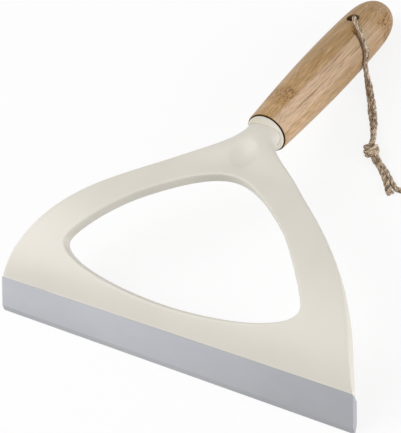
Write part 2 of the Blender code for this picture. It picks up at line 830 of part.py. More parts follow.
def main():
    clear_scene()
    root = bpy.data.objects.new("squeegee", None)
    bpy.context.scene.collection.objects.link(root)
    plastic = make_material("cream_plastic", (0.69, 0.65, 0.57), 0.42)
    rubber = make_material("grey_rubber", (0.45, 0.47, 0.51), 0.6)
    bamboo = make_material("bamboo", (0.45, 0.27, 0.13), 0.5)
    parts = [
        build_head(plastic, root),
        build_blade(rubber, root),
        build_handle(bamboo, root),
    ]
    lay_down(parts, root)
    twine = make_material("jute_twine", (0.36, 0.26, 0.16), 0.9)
    build_twine("twine_loop", OVER_STRAND + UNDER_STRAND, twine)
    build_knot(twine)
    build_twine("twine_short_tail", SHORT_TAIL, twine)
    build_twine("twine_long_tail", LONG_TAIL, twine)


main()
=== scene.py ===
"""Squeegee: moulded head, rubber blade, bamboo handle and hanging loop of twine.

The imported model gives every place. Lengths are metres unless a comment says otherwise.
"""

import math
import random

import bmesh
import bpy
from bpy.props import FloatProperty, FloatVectorProperty, IntProperty, PointerProperty
from mathutils import Euler, Matrix, Vector, noise


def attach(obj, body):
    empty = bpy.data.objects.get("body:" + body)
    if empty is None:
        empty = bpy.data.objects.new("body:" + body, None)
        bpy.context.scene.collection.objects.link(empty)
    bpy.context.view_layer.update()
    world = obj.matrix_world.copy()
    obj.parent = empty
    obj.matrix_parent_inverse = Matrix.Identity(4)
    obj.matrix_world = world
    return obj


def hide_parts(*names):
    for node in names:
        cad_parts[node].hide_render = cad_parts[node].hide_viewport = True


bl_info = {
    "name": "Squeegee Finish",
    "version": (1, 0, 0),
    "blender": (4, 5, 0),
    "location": "View3D > Sidebar > Squeegee",
    "description": "Finishes a packed squeegee: head, blade, handle and twine loop",
    "category": "Object",
}

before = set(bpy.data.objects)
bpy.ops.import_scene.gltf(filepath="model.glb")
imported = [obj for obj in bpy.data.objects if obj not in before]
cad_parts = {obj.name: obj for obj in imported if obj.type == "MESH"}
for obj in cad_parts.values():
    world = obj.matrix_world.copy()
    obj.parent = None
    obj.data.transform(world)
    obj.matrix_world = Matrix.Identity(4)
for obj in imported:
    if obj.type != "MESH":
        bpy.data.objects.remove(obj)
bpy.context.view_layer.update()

MM = 0.001
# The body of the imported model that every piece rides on
BODY = "root"

# How the squeegee lies: its own upright frame is turned about X by this angle and moved
# by this much
LYING_ANGLE = math.radians(12.325)
LYING_PLACE = Vector((0.0, -0.13527, 0.021438))
# In the upright frame: the height of the handle's axis, the place of its front face, and
# where the collar in front of it begins
HANDLE_AXIS_HEIGHT = 50 * MM
HANDLE_FRONT = 127.709 * MM
COLLAR_AT = 124.3 * MM

# Routes of the twine, in millimetres
OVER_STRAND = (
    (45.3, 39.1, 6.5), (44.1, 43.0, 6.1), (42.4, 46.8, 5.2), (39.6, 52.8, 4.2),
    (37.3, 57.7, 3.5), (34.3, 62.7, 2.4), (30.7, 68.6, 1.7), (27.1, 74.5, 1.7),
    (23.4, 80.0, 2.8), (20.8, 84.6, 6.0), (18.6, 87.3, 10.0), (17.9, 88.8, 14.5),
    (17.8, 90.2, 19.5), (18.7, 93.4, 24.9), (18.1, 95.7, 27.9), (16.8, 97.4, 31.0),
    (14.9, 99.6, 33.3), (12.7, 101.2, 35.4), (10.0, 103.9, 36.8),
    (7.3, 106.5, 37.6), (4.6, 109.5, 38.0), (3.2, 111.4, 37.2), (2.2, 112.4, 35.3),
    (1.6, 112.6, 32.3), (1.0, 112.4, 28.8),
)
UNDER_STRAND = (
    (-1.5, 112.6, 18.0), (-1.4, 109.9, 6.0), (-1.0, 109.0, 3.8), (1.5, 107.4, 2.2),
    (3.0, 105.6, 1.5), (7.2, 102.0, 1.5), (13.1, 92.5, 1.4), (17.4, 85.5, 1.4),
    (21.4, 79.0, 1.4), (25.0, 73.3, 1.4), (28.2, 67.3, 1.4), (32.0, 61.5, 1.4),
    (34.9, 56.9, 1.4), (37.5, 52.4, 1.5), (40.8, 46.5, 2.0), (42.8, 43.0, 2.9),
    (44.8, 39.1, 3.4),
)
SHORT_TAIL = (
    (49.3, 30.7, 3.7), (52.2, 28.0, 2.3), (56.3, 25.2, 1.6), (62.9, 18.7, 1.7),
    (71.5, 8.6, 2.0),
)
LONG_TAIL = (
    (50.1, 32.6, 4.9), (53.3, 30.2, 3.0), (60.2, 24.9, 1.7), (66.9, 18.6, 1.8),
    (72.6, 13.5, 1.8), (76.0, 12.4, 1.5), (78.7, 13.1, 1.5), (81.0, 14.8, 1.5),
)

# The knot's centre, and the turn of its strands to the twine's direction there
KNOT_CENTRE = Vector((46.3, 34.6, 5.2)) * MM
KNOT_TURN = Matrix(((0.640, 0.768, 0.0), (-0.768, 0.640, 0.0), (0.0, 0.0, 1.0)))
# The knot's two strands, in millimetres from its centre: along the twine, across it
# and up
KNOT_STRANDS = (
    (
        (-6.0, 1.8, -1.5), (-4.12, 1.78, -1.85), (-2.89, 0.76, -2.02),
        (-1.87, -0.38, -1.87), (-0.48, -0.96, -1.96), (0.59, -2.09, -1.98),
        (1.54, -3.18, -1.33), (2.84, -2.87, -0.58), (3.89, -2.24, 0.44),
        (4.63, -1.28, 1.43), (4.68, -0.13, 1.89), (3.63, 0.57, 1.24),
        (2.87, 1.89, 0.73), (2.13, 3.0, 0.51), (1.38, 3.35, -0.29),
        (0.19, 3.26, -1.36), (-1.01, 3.25, -2.41), (-2.29, 2.67, -3.14),
        (-3.25, 1.63, -3.7), (-4.18, 0.35, -3.7), (-3.83, -1.07, -3.33),
        (-3.18, -2.12, -2.32), (-2.24, -2.73, -1.19), (-1.3, -3.29, -0.02),
        (-0.72, -2.72, -0.01), (0.53, -1.73, -0.06), (1.77, -0.76, -0.05),
        (2.6, 0.0, -0.5), (3.9, 0.2, -1.0), (5.6, 0.2, -1.6),
    ),
    (
        (-7.0, 2.3, 0.9), (-5.72, 1.78, 0.7), (-4.4, 1.09, 0.8), (-3.17, 0.1, 0.63),
        (-1.89, -0.76, 0.23), (-0.6, -0.43, 0.38), (0.37, -1.62, 0.81),
        (1.34, -2.82, 1.15), (1.93, -3.36, 1.33), (2.89, -2.59, 2.36),
        (3.39, -1.37, 3.23), (3.64, 0.08, 3.76), (3.18, 1.56, 3.83),
        (2.44, 2.82, 3.23), (1.32, 3.51, 2.42), (0.11, 3.53, 1.42),
        (-1.07, 3.3, 0.37), (-2.25, 3.1, -0.67), (-2.71, 2.02, -0.73),
        (-3.7, 0.85, -1.16), (-4.73, -0.22, -1.63), (-5.15, -1.06, -1.58),
        (-4.46, -2.06, -0.54), (-3.4, -2.36, 0.63), (-2.25, -2.36, 1.71),
        (-0.92, -2.02, 2.46), (0.28, -1.02, 2.66), (1.54, -0.19, 2.16),
        (1.95, 0.86, 1.91), (3.34, 1.64, 1.84), (4.72, 2.2, 1.3), (6.2, 2.4, 0.2),
    ),
)

# Corners of a CAD mesh that lie closer than this are one
MERGE_DISTANCE = 0.001 * MM


# Sizes and colours a user would change


class HeadSettings(bpy.types.PropertyGroup):
    """The moulded head."""

    colour: FloatVectorProperty(
        name="Cream",
        description="Colour of the moulded plastic",
        subtype="COLOR",
        size=4,
        min=0.0,
        max=1.0,
        default=(0.712, 0.679, 0.605, 1.0),
    )
    roughness: FloatProperty(
        name="Roughness",
        description="How matt the moulded surface is",
        subtype="FACTOR",
        min=0.0,
        max=1.0,
        default=0.42,
    )


class BladeSettings(bpy.types.PropertyGroup):
    """The rubber blade."""

    colour: FloatVectorProperty(
        name="Rubber",
        description="Colour of the blade's faces",
        subtype="COLOR",
        size=4,
        min=0.0,
        max=1.0,
        default=(0.505, 0.515, 0.55, 1.0),
    )
    # The lip's colour is darker as painted shade
    shaded_lip_colour: FloatVectorProperty(
        name="Lip",
        description="Colour of the ground lip",
        subtype="COLOR",
        size=4,
        min=0.0,
        max=1.0,
        default=(0.41, 0.415, 0.44, 1.0),
    )
    edge_round: FloatProperty(
        name="Edge rounding",
        description="Radius of the blade's moulded edges",
        subtype="DISTANCE",
        unit="LENGTH",
        min=0.0,
        max=0.001,
        default=0.00025,
        precision=5,
    )


class HandleSettings(bpy.types.PropertyGroup):
    """The bamboo handle."""

    golden: FloatVectorProperty(
        name="Golden strip",
        description="Colour of the darker bamboo strips",
        subtype="COLOR",
        size=4,
        min=0.0,
        max=1.0,
        default=(0.41, 0.246, 0.09, 1.0),
    )
    pale: FloatVectorProperty(
        name="Pale strip",
        description="Colour of the paler bamboo strips",
        subtype="COLOR",
        size=4,
        min=0.0,
        max=1.0,
        default=(0.60, 0.43, 0.295, 1.0),
    )
    weathered: FloatVectorProperty(
        name="Weathered side",
        description="Colour of the greyer strip at the side",
        subtype="COLOR",
        size=4,
        min=0.0,
        max=1.0,
        default=(0.40, 0.31, 0.215, 1.0),
    )
    vein: FloatVectorProperty(
        name="Fibres",
        description="Colour of the dark fibres and of the speckles at the nodes",
        subtype="COLOR",
        size=4,
        min=0.0,
        max=1.0,
        default=(0.17, 0.088, 0.038, 1.0),
    )
    roughness: FloatProperty(
        name="Roughness",
        description="How matt the oiled bamboo is",
        subtype="FACTOR",
        min=0.0,
        max=1.0,
        default=0.48,
    )


class TwineSettings(bpy.types.PropertyGroup):
    """The twine of the hanging loop."""

    diameter: FloatProperty(
        name="Diameter",
        description="Thickness of the twine",
        subtype="DISTANCE",
        unit="LENGTH",
        min=0.001,
        max=0.004,
        default=0.0028,
        precision=4,
    )
    plies: IntProperty(
        name="Plies",
        description="How many plies are laid up in the twine",
        min=2,
        max=4,
        default=3,
    )
    lay: FloatProperty(
        name="Lay",
        description="Length of one turn of a ply",
        subtype="DISTANCE",
        unit="LENGTH",
        min=0.006,
        max=0.03,
        default=0.017,
        precision=4,
    )
    colour: FloatVectorProperty(
        name="Jute",
        description="Middle colour of the jute",
        subtype="COLOR",
        size=4,
        min=0.0,
        max=1.0,
        default=(0.46, 0.335, 0.22, 1.0),
    )
    fibres: IntProperty(
        name="Stray fibres",
        description="How many loose fibres stand off the twine",
        min=0,
        max=2000,
        default=420,
    )


class StageSettings(bpy.types.PropertyGroup):
    """Floor, lights and camera."""

    floor_colour: FloatVectorProperty(
        name="Floor",
        description="Colour of the floor",
        subtype="COLOR",
        size=4,
        min=0.0,
        max=1.0,
        default=(0.93, 0.93, 0.93, 1.0),
    )
    sky_strength: FloatProperty(
        name="Room light",
        description="Strength of the even light from all round",
        min=0.0,
        max=2.0,
        default=0.33,
    )
    left_light: FloatProperty(
        name="Left light",
        description="Power of the softbox at the left, the main light",
        unit="POWER",
        min=0.0,
        max=200.0,
        default=10.1,
    )
    top_light: FloatProperty(
        name="Top light",
        description="Power of the softbox above the left front",
        unit="POWER",
        min=0.0,
        max=200.0,
        default=4.3,
    )
    right_light: FloatProperty(
        name="Right light",
        description="Power of the low softbox at the right",
        unit="POWER",
        min=0.0,
        max=200.0,
        default=13.3,
    )
    camera_place: FloatVectorProperty(
        name="Camera",
        description="Where the camera stands",
        subtype="TRANSLATION",
        unit="LENGTH",
        size=3,
        default=(0.40699, -0.40407, 0.58194),
    )
    camera_turn: FloatVectorProperty(
        name="Camera turn",
        description="Turn of the camera about X, Y and Z",
        subtype="EULER",
        unit="ROTATION",
        size=3,
        default=tuple(math.radians(a) for a in (41.6109, 17.9092, 31.7540)),
    )
    camera_lens: FloatProperty(
        name="Lens",
        description="Focal length of the camera in millimetres",
        min=10.0,
        max=500.0,
        default=116.708,
    )


# Tools for meshes


def deselect():
    """Leaves object mode with nothing selected."""
    if bpy.context.object and bpy.context.object.mode != "OBJECT":
        bpy.ops.object.mode_set(mode="OBJECT")
    bpy.ops.object.select_all(action="DESELECT")


def make_active(piece):
    """Selects one piece alone."""
    deselect()
    piece.select_set(True)
    bpy.context.view_layer.objects.active = piece


def new_piece(name, mesh, material):
    """A mesh as a piece of the scene, with its material, riding on the squeegee."""
    piece = bpy.data.objects.new(name, mesh)
    bpy.context.scene.collection.objects.link(piece)
    mesh.materials.clear()
    mesh.materials.append(material)
    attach(piece, BODY)
    return piece


def merged_copy(node, name, material):
    """A copy of a CAD node as one mesh of mostly quads, which stands for the node."""
    piece = new_piece(name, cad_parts[node].data.copy(), material)
    make_active(piece)
    bpy.ops.mesh.customdata_custom_splitnormals_clear()
    bpy.ops.object.mode_set(mode="EDIT")
    bpy.ops.mesh.select_all(action="SELECT")
    bpy.ops.mesh.remove_doubles(threshold=MERGE_DISTANCE)
    bpy.ops.mesh.mark_sharp(clear=True)
    bpy.ops.mesh.tris_convert_to_quads(
        face_threshold=math.radians(20), shape_threshold=math.radians(60)
    )
    bpy.ops.object.mode_set(mode="OBJECT")
    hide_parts(node)
    return piece


def crease_sharp_edges(piece, angle):
    """Keeps edges that are sharper than the angle sharp under a subdivision surface."""
    make_active(piece)
    bpy.ops.object.mode_set(mode="EDIT")
    bpy.ops.mesh.select_mode(type="EDGE")
    bpy.ops.mesh.select_all(action="DESELECT")
    bpy.ops.mesh.edges_select_sharp(sharpness=angle)
    bpy.ops.transform.edge_crease(value=1.0)
    bpy.ops.mesh.select_all(action="DESELECT")
    bpy.ops.object.mode_set(mode="OBJECT")


def subdivided(piece):
    """Applies one level of subdivision surface."""
    make_active(piece)
    modifier = piece.modifiers.new("Smooth surface", "SUBSURF")
    modifier.levels = modifier.render_levels = 1
    bpy.ops.object.modifier_apply(modifier=modifier.name)


def shaded(piece, angle):
    """Smooth shading, except across edges sharper than the angle."""
    make_active(piece)
    bpy.ops.object.shade_smooth_by_angle(angle=angle)


# Tools for materials


def new_material(name):
    """A material with an empty Principled shader, its tree and that shader."""
    material = bpy.data.materials.new(name)
    material.use_nodes = True
    tree = material.node_tree
    return material, tree, tree.nodes["Principled BSDF"]


def add_node(tree, kind, inputs=None, **settings):
    """A node with its settings, and a value or a feeding socket for each input."""
    added = tree.nodes.new(kind)
    for name, value in settings.items():
        setattr(added, name, value)
    for key, value in (inputs or {}).items():
        socket = added.inputs[key]
        if isinstance(value, bpy.types.NodeSocket):
            tree.links.new(value, socket)
        else:
            socket.default_value = value
    return added


def maths(tree, operation, a, b=0.0, c=0.0, clamp=False):
    """The result of one Math node."""
    return add_node(
        tree, "ShaderNodeMath", {0: a, 1: b, 2: c}, operation=operation, use_clamp=clamp
    ).outputs[0]


def product(tree, value, *others):
    """The product of two or more values."""
    for other in others:
        value = maths(tree, "MULTIPLY", value, other)
    return value


def apart(tree, a, b):
    """How far two values lie apart."""
    return maths(tree, "ABSOLUTE", maths(tree, "SUBTRACT", a, b))


def swayed(tree, value, sway, amount, clamp=False):
    """A value moved to and fro by a noise."""
    about = maths(tree, "SUBTRACT", sway, 0.5)
    return maths(tree, "MULTIPLY_ADD", about, amount, value, clamp)


def vector_maths(tree, operation, a, b=(0, 0, 0)):
    """The result of one Vector Math node."""
    node = add_node(tree, "ShaderNodeVectorMath", {0: a, 1: b}, operation=operation)
    return node.outputs["Value" if operation == "LENGTH" else "Vector"]


def separated(tree, vector):
    """The X, Y and Z outputs of a vector."""
    return add_node(tree, "ShaderNodeSeparateXYZ", {0: vector}).outputs


def combined(tree, x, y, z=0.0):
    """The vector of its X, Y and Z."""
    return add_node(tree, "ShaderNodeCombineXYZ", {0: x, 1: y, 2: z}).outputs[0]


def ramp(tree, value, low, high, to_low=0.0, to_high=1.0):
    """A value taken smoothly from one range to another."""
    return add_node(
        tree,
        "ShaderNodeMapRange",
        {0: value, 1: low, 2: high, 3: to_low, 4: to_high},
        interpolation_type="SMOOTHSTEP",
    ).outputs[0]


def mixed(tree, share, a, b, blend="MIX"):
    """Two colours mixed by a share."""
    return add_node(
        tree,
        "ShaderNodeMix",
        {0: share, 6: a, 7: b},
        data_type="RGBA",
        blend_type=blend,
    ).outputs[2]


def tinted(colour, *factors):
    """A colour with its parts multiplied, by one factor or by one each."""
    factors = factors * 3 if len(factors) == 1 else factors
    return [min(1.0, part * factor) for part, factor in zip(colour[:3], factors)] + [1.0]


def placed(tree, source, scale=(1, 1, 1), rotation=(0, 0, 0), location=(0, 0, 0)):
    """Coordinates scaled, turned and moved."""
    return add_node(
        tree,
        "ShaderNodeMapping",
        {
            "Vector": source,
            "Scale": scale,
            "Rotation": rotation,
            "Location": location,
        },
    ).outputs[0]


def cloudy(tree, vector, scale, detail=2.0, roughness=0.5, distortion=0.0):
    """A noise value."""
    return add_node(
        tree,
        "ShaderNodeTexNoise",
        {
            "Vector": vector,
            "Scale": scale,
            "Detail": detail,
            "Roughness": roughness,
            "Distortion": distortion,
        },
    ).outputs["Fac"]


def stretched(tree, vector, scale, detail=2.0, roughness=0.5, distortion=0.0):
    """A noise value with a scale of its own along each axis."""
    return cloudy(tree, placed(tree, vector, scale), 1.0, detail, roughness, distortion)


def bump(tree, height, distance, strength=1.0, under=None):
    """A bump normal from a height between 0 and 1."""
    inputs = {"Height": height, "Distance": distance, "Strength": strength}
    if under is not None:
        inputs["Normal"] = under
    return add_node(tree, "ShaderNodeBump", inputs).outputs[0]


def object_coordinates(tree):
    """The piece's own coordinates."""
    return add_node(tree, "ShaderNodeTexCoord").outputs["Object"]


def upright_coordinates(tree, own, origin=(0, 0, 0)):
    """Coordinates in the upright squeegee's own frame, measured from an origin there."""
    shift = -(Matrix.Rotation(LYING_ANGLE, 3, "X") @ LYING_PLACE) - Vector(origin)
    return placed(tree, own, rotation=(LYING_ANGLE, 0, 0), location=shift)


def down_blade(tree, place):
    """How far down the blade's slope an upright place lies, from the joint."""
    return maths(
        tree,
        "SUBTRACT",
        product(tree, place["Y"], -math.cos(BLADE_SLOPE)),
        product(tree, place["Z"], math.sin(BLADE_SLOPE)),
    )


# Finishes, and the measures that they follow

# The thumb hollow is pressed a little deeper, with a crisper rim
HOLLOW_CENTRE = Vector((0.3, -22.3, 49.3)) * MM
HOLLOW_RADIUS = 9.4 * MM
HOLLOW_DEPTH = 0.4 * MM
HOLLOW_RIM = 0.85 * MM
# The blade: slope of its face, height, half length, flare of its ends and how far it is
# pressed up against the head
BLADE_SLOPE = math.radians(70.8)
BLADE_HEIGHT = 22 * MM
BLADE_HALF_LENGTH = 125 * MM
END_FLARE = 1.3 * MM
BOND_LIFT = 0.42 * MM
# Down the slope: where the head's painted edge highlight rises, and the lip begins
EDGE_HIGHLIGHT = (-1.6 * MM, -1.0 * MM)
LIP_START = (19.62 * MM, 19.92 * MM)


def cream_plastic(settings):
    """Satin moulded plastic: a fine spark-eroded texture and faint flow marks."""
    material, tree, shader = new_material("cream_plastic")
    own = object_coordinates(tree)
    place = separated(tree, upright_coordinates(tree, own))
    flow = stretched(tree, own, (14, 5, 14), 3.0, 0.55)
    deep, light = tinted(settings.colour, 0.965), tinted(settings.colour, 1.025)
    colour = mixed(tree, ramp(tree, flow, 0.3, 0.7), deep, light)

    # Painted reflection: the collar is tinted warmer where the bamboo is reflected in it
    bamboo_reflection = product(
        tree,
        ramp(tree, place["Y"], COLLAR_AT, COLLAR_AT + 0.6 * MM),
        ramp(tree, place["X"], 9 * MM, -4 * MM),
    )
    colour = mixed(tree, bamboo_reflection, colour, tinted(settings.colour, 0.88, 0.85, 0.79))

    # A painted highlight: a pale line where the plate's rounded edge meets the rubber
    edge_highlight = ramp(tree, down_blade(tree, place), *EDGE_HIGHLIGHT, 0.0, 0.6)
    colour = mixed(tree, edge_highlight, colour, tinted(settings.colour, 1.22))
    tree.links.new(colour, shader.inputs["Base Color"])

    # Gloss that follows the flow marks and the fine texture
    grain = cloudy(tree, own, 2600.0, 2.0, 0.6)
    glossy, matt = settings.roughness - 0.05, settings.roughness + 0.05
    marks = ramp(tree, flow, 0.25, 0.75, glossy, matt)
    rough = maths(tree, "MULTIPLY_ADD", grain, 0.08, marks)
    tree.links.new(maths(tree, "SUBTRACT", rough, 0.04), shader.inputs["Roughness"])

    # Faint ripples, the rim of the thumb hollow, and the fine texture over both
    waved = bump(tree, cloudy(tree, own, 95.0, 1.0, 0.4), 0.05 * MM, 0.5)
    off_hollow = vector_maths(tree, "SUBTRACT", own, tuple(HOLLOW_CENTRE))
    flattened = (1 / HOLLOW_RADIUS, 1 / HOLLOW_RADIUS, 0.25 / HOLLOW_RADIUS)
    off_hollow = vector_maths(tree, "MULTIPLY", off_hollow, flattened)
    reach = vector_maths(tree, "LENGTH", off_hollow)
    bowl = maths(tree, "MINIMUM", product(tree, reach, reach), 1.0)
    dished = bump(tree, bowl, HOLLOW_RIM, 1.0, waved)
    tree.links.new(bump(tree, grain, 0.02 * MM, 0.5, dished), shader.inputs["Normal"])
    shader.inputs["Specular IOR Level"].default_value = 0.45
    return material


def grey_rubber(settings):
    """Matt rubber with a fine bloom, and a ground lip painted darker as shade."""
    material, tree, shader = new_material("grey_rubber")
    own = object_coordinates(tree)
    down = down_blade(tree, separated(tree, upright_coordinates(tree, own)))
    bloom = stretched(tree, own, (30, 60, 60), 4.0, 0.6)
    dull, clean = tinted(settings.colour, 0.975), tinted(settings.colour, 1.03)
    face = mixed(tree, ramp(tree, bloom, 0.35, 0.7), dull, clean)

    # Painted shade darker towards the right end, and paler about the middle
    along = separated(tree, own)["X"]
    darker = ramp(tree, along, -20 * MM, BLADE_HALF_LENGTH, 0.0, 0.15)
    face = mixed(tree, darker, face, (0.0, 0.0, 0.0, 1.0))
    middle = ramp(tree, maths(tree, "ABSOLUTE", along), 90 * MM, 20 * MM)
    face = mixed(tree, product(tree, middle, 0.12), face, tinted(settings.colour, 1.2))
    # The lip is painted darker, as shade where its bevel faces down
    bright_lip = tinted(settings.shaded_lip_colour, 1.2)
    lip = mixed(tree, product(tree, middle, 0.5), settings.shaded_lip_colour, bright_lip)
    at_lip = ramp(tree, down, *LIP_START)
    tree.links.new(mixed(tree, at_lip, face, lip), shader.inputs["Base Color"])

    # A fine grain on the faces, and grinding marks along the lip
    grain = cloudy(tree, own, 1900.0, 3.0, 0.65)
    ground = stretched(tree, own, (260, 5200, 5200), 2.0, 0.6)
    surface = add_node(
        tree, "ShaderNodeMix", {0: at_lip, 2: grain, 3: ground}, data_type="FLOAT"
    ).outputs[0]
    rough = ramp(tree, bloom, 0.3, 0.75, 0.46, 0.58)
    tree.links.new(rough, shader.inputs["Roughness"])
    tree.links.new(bump(tree, surface, 0.02 * MM, 0.6), shader.inputs["Normal"])
    shader.inputs["Specular IOR Level"].default_value = 0.4
    return material


# Bamboo strips: turn about the handle in degrees, width, depth, the seed of their tones,
# and how softly the tones meet, in millimetres
STRIP_TURN = 35.0
STRIP_WIDTH = 11.6 * MM
STRIP_DEPTH = 17.0 * MM
STRIP_SEED = 0.37
STRIP_BLUR = 0.8
# The long dark fibre: its place across the pale strip in front, and how it slants
VEIN_AT = 0.2 * MM
VEIN_SLOPE = -0.019
# Painted joint shadow on the front end grain: where it starts to fade and where it ends
FRONT_SHADOW = (2.08 * MM, 2.4 * MM)
# The cross hole near the handle's end
HOLE_AT = 113.5 * MM
HOLE_RADIUS = 4.0 * MM
# Twine shadow and stain, painted: where it crosses the pale strip's middle and how it
# slants
SHADOW_STAIN_AT = 97.0 * MM
SHADOW_STAIN_SLOPE = 0.4
# Nodes, and in the second row a dark spot by the twine, in millimetres: place along the
# handle, half length, lowest and highest place across it; and their strength
BAMBOO_NODES = (
    (23.5, 10.0, 5.8, 18.0, 1.0),
    (100.5, 3.0, 4.2, 8.5, 1.25),
    (130.0, 11.0, -15.0, 1.0, 1.3),
    (76.0, 7.0, -18.0, -5.8, 0.4),
)


def bamboo(settings):
    """Laminated bamboo: strips of two tones, long fibres, and speckled nodes."""
    material, tree, shader = new_material("bamboo")
    upright = upright_coordinates(
        tree, object_coordinates(tree), (0.0, HANDLE_FRONT, HANDLE_AXIS_HEIGHT)
    )
    # X and Z turned so that a strip's face looks up and to the right, and Y along it
    stock = placed(tree, upright, rotation=(0, math.radians(STRIP_TURN), 0))
    parts = separated(tree, stock)
    deep, along = parts["X"], parts["Y"]
    wander = stretched(tree, upright, (20, 9, 20), 1.0)
    across = swayed(tree, parts["Z"], wander, 1.2 * MM)

    # Fibres: long streaks, from broad to hair-fine
    broad = stretched(tree, stock, (170, 5, 170), 2.0, 0.55)
    fine = stretched(tree, stock, (1450, 20, 1450), 3.0, 0.65)
    hair = stretched(tree, stock, (2600, 60, 2600), 2.0, 0.6)
    ragged = swayed(tree, across, fine, 3 * MM)

    # The pale strip in the middle, and a tone of its own for each strip beside it
    half = STRIP_WIDTH / 2
    blur = STRIP_BLUR * MM
    shifted = maths(tree, "ADD", ragged, half)
    column = maths(tree, "FLOOR", maths(tree, "DIVIDE", shifted, STRIP_WIDTH))
    layer = maths(tree, "FLOOR", maths(tree, "DIVIDE", deep, STRIP_DEPTH))
    chance = add_node(
        tree,
        "ShaderNodeTexWhiteNoise",
        {"Vector": combined(tree, column, layer, STRIP_SEED)},
        noise_dimensions="3D",
    ).outputs["Value"]
    middle = product(
        tree,
        ramp(tree, maths(tree, "ABSOLUTE", ragged), half - blur, half + blur, 0.8, 0.0),
        ramp(tree, along, 108 * MM, 124 * MM, 1.0, 0.25),
    )
    lower = ramp(tree, across, -4 * MM, -8 * MM, 0.0, 0.3)
    pale_strips = maths(tree, "ADD", middle, lower)
    paleness = maths(tree, "ADD", pale_strips, product(tree, chance, 0.16))
    tone = swayed(tree, paleness, broad, 0.9, clamp=True)
    colour = mixed(tree, tone, settings.golden, settings.pale)
    weathered = ramp(tree, deep, 6 * MM, -3 * MM, 0.0, 0.55)
    colour = mixed(tree, weathered, colour, settings.weathered)
    colour = mixed(tree, ramp(tree, fine, 0.51, 0.68, 0.0, 0.5), colour, settings.vein)
    colour = mixed(tree, ramp(tree, hair, 0.52, 0.68, 0.0, 0.42), colour, settings.vein)
    light = tinted(settings.pale, 1.3)
    colour = mixed(tree, ramp(tree, hair, 0.48, 0.34, 0.0, 0.55), colour, light)

    # One long dark fibre in the pale strip
    drift = maths(tree, "MULTIPLY_ADD", along, VEIN_SLOPE, VEIN_AT)
    long_fibre = product(
        tree,
        ramp(tree, apart(tree, across, drift), 0.15 * MM, 0.6 * MM, 0.8, 0.0),
        ramp(tree, stretched(tree, stock, (30, 30, 30)), 0.4, 0.56),
        ramp(tree, deep, 0.0, 2 * MM),
    )
    colour = mixed(tree, long_fibre, colour, settings.vein)

    # Glue lines between strips
    edge = apart(tree, maths(tree, "ABSOLUTE", across), half)
    seam = ramp(tree, edge, 0.05 * MM, 0.4 * MM, 0.22, 0.0)
    colour = mixed(tree, seam, colour, settings.vein)

    # Deeper in tone towards the hand's end
    towards_end = ramp(tree, along, 10 * MM, 85 * MM)
    ageing = mixed(tree, towards_end, (1.09, 1.09, 1.09, 1), (0.91, 0.89, 0.84, 1))
    colour = mixed(tree, 1.0, colour, ageing, "MULTIPLY")

    # Nodes: patches of short dark ticks
    ticks = stretched(tree, stock, (820, 300, 820), 2.0, 0.6, 0.5)
    specks = ramp(tree, ticks, 0.5, 0.58)
    warm = tinted(settings.golden, 1.02, 0.88, 0.7)
    for at, spread, lowest, highest, strength in BAMBOO_NODES:
        uneven = maths(tree, "MULTIPLY_ADD", broad, 8 * MM, apart(tree, along, at * MM))
        fade = (spread * 0.4 * MM + 4 * MM, spread * MM + 4 * MM)
        within = product(
            tree,
            ramp(tree, ragged, (lowest - STRIP_BLUR) * MM, (lowest + STRIP_BLUR) * MM),
            ramp(tree, ragged, (highest + STRIP_BLUR) * MM, (highest - STRIP_BLUR) * MM),
        )
        patch = product(tree, ramp(tree, uneven, *fade, 1.0, 0.0), within)
        colour = mixed(tree, product(tree, patch, 0.4 * strength), colour, warm)
        dark = product(tree, patch, specks, 0.8 * strength)
        colour = mixed(tree, dark, colour, settings.vein)

    # The twine's painted shadow, with the stain that it has rubbed into the handle
    crossing = maths(tree, "MULTIPLY_ADD", across, SHADOW_STAIN_SLOPE, SHADOW_STAIN_AT)
    off_shadow_and_stain = maths(tree, "MULTIPLY_ADD", fine, 1.2 * MM, apart(tree, along, crossing))
    on_top = ramp(tree, deep, 1 * MM, 4 * MM)
    on_right = ramp(tree, across, 10 * MM, 7 * MM)
    shadow_and_rub = ramp(tree, off_shadow_and_stain, 0.8 * MM, 2.1 * MM, 0.9, 0.0)
    twine_shadow_and_stain = product(tree, shadow_and_rub, product(tree, on_top, on_right))
    shade_and_stain_colour = tinted(settings.vein, 0.6)
    colour = mixed(tree, twine_shadow_and_stain, colour, shade_and_stain_colour)

    # Painted shade in the mouth of the cross hole and down its walls
    place = separated(tree, upright)
    aside = combined(tree, place["X"], maths(tree, "SUBTRACT", place["Y"], HOLE_AT))
    reach = vector_maths(tree, "LENGTH", aside)
    hole_shade = ramp(tree, reach, HOLE_RADIUS, HOLE_RADIUS + 0.7 * MM, 0.92, 0.0)
    colour = mixed(tree, hole_shade, colour, shade_and_stain_colour)

    # Painted shadow of the joint, dark over the end grain round the front chamfer
    front = ramp(tree, along, *FRONT_SHADOW, 0.97, 0.0)
    colour = mixed(tree, front, colour, tinted(settings.vein, 0.2, 0.17, 0.14))
    tree.links.new(colour, shader.inputs["Base Color"])

    # Oiled gloss over open pores, and none on the end grain under the painted shadow
    oiled, dry = settings.roughness - 0.06, settings.roughness + 0.1
    sheen = ramp(tree, fine, 0.3, 0.7, oiled, dry)
    tree.links.new(sheen, shader.inputs["Roughness"])
    pores = bump(tree, fine, 0.05 * MM, 0.55)
    tree.links.new(bump(tree, hair, 0.03 * MM, 0.5, pores), shader.inputs["Normal"])
    dull_front = ramp(tree, along, FRONT_SHADOW[1], FRONT_SHADOW[1] + 0.4 * MM, 0.0, 0.4)
    tree.links.new(dull_front, shader.inputs["Specular IOR Level"])
    return material


# How fast the fibres turn round a ply, in radians for each metre along it
FIBRE_TWIST = 260.0


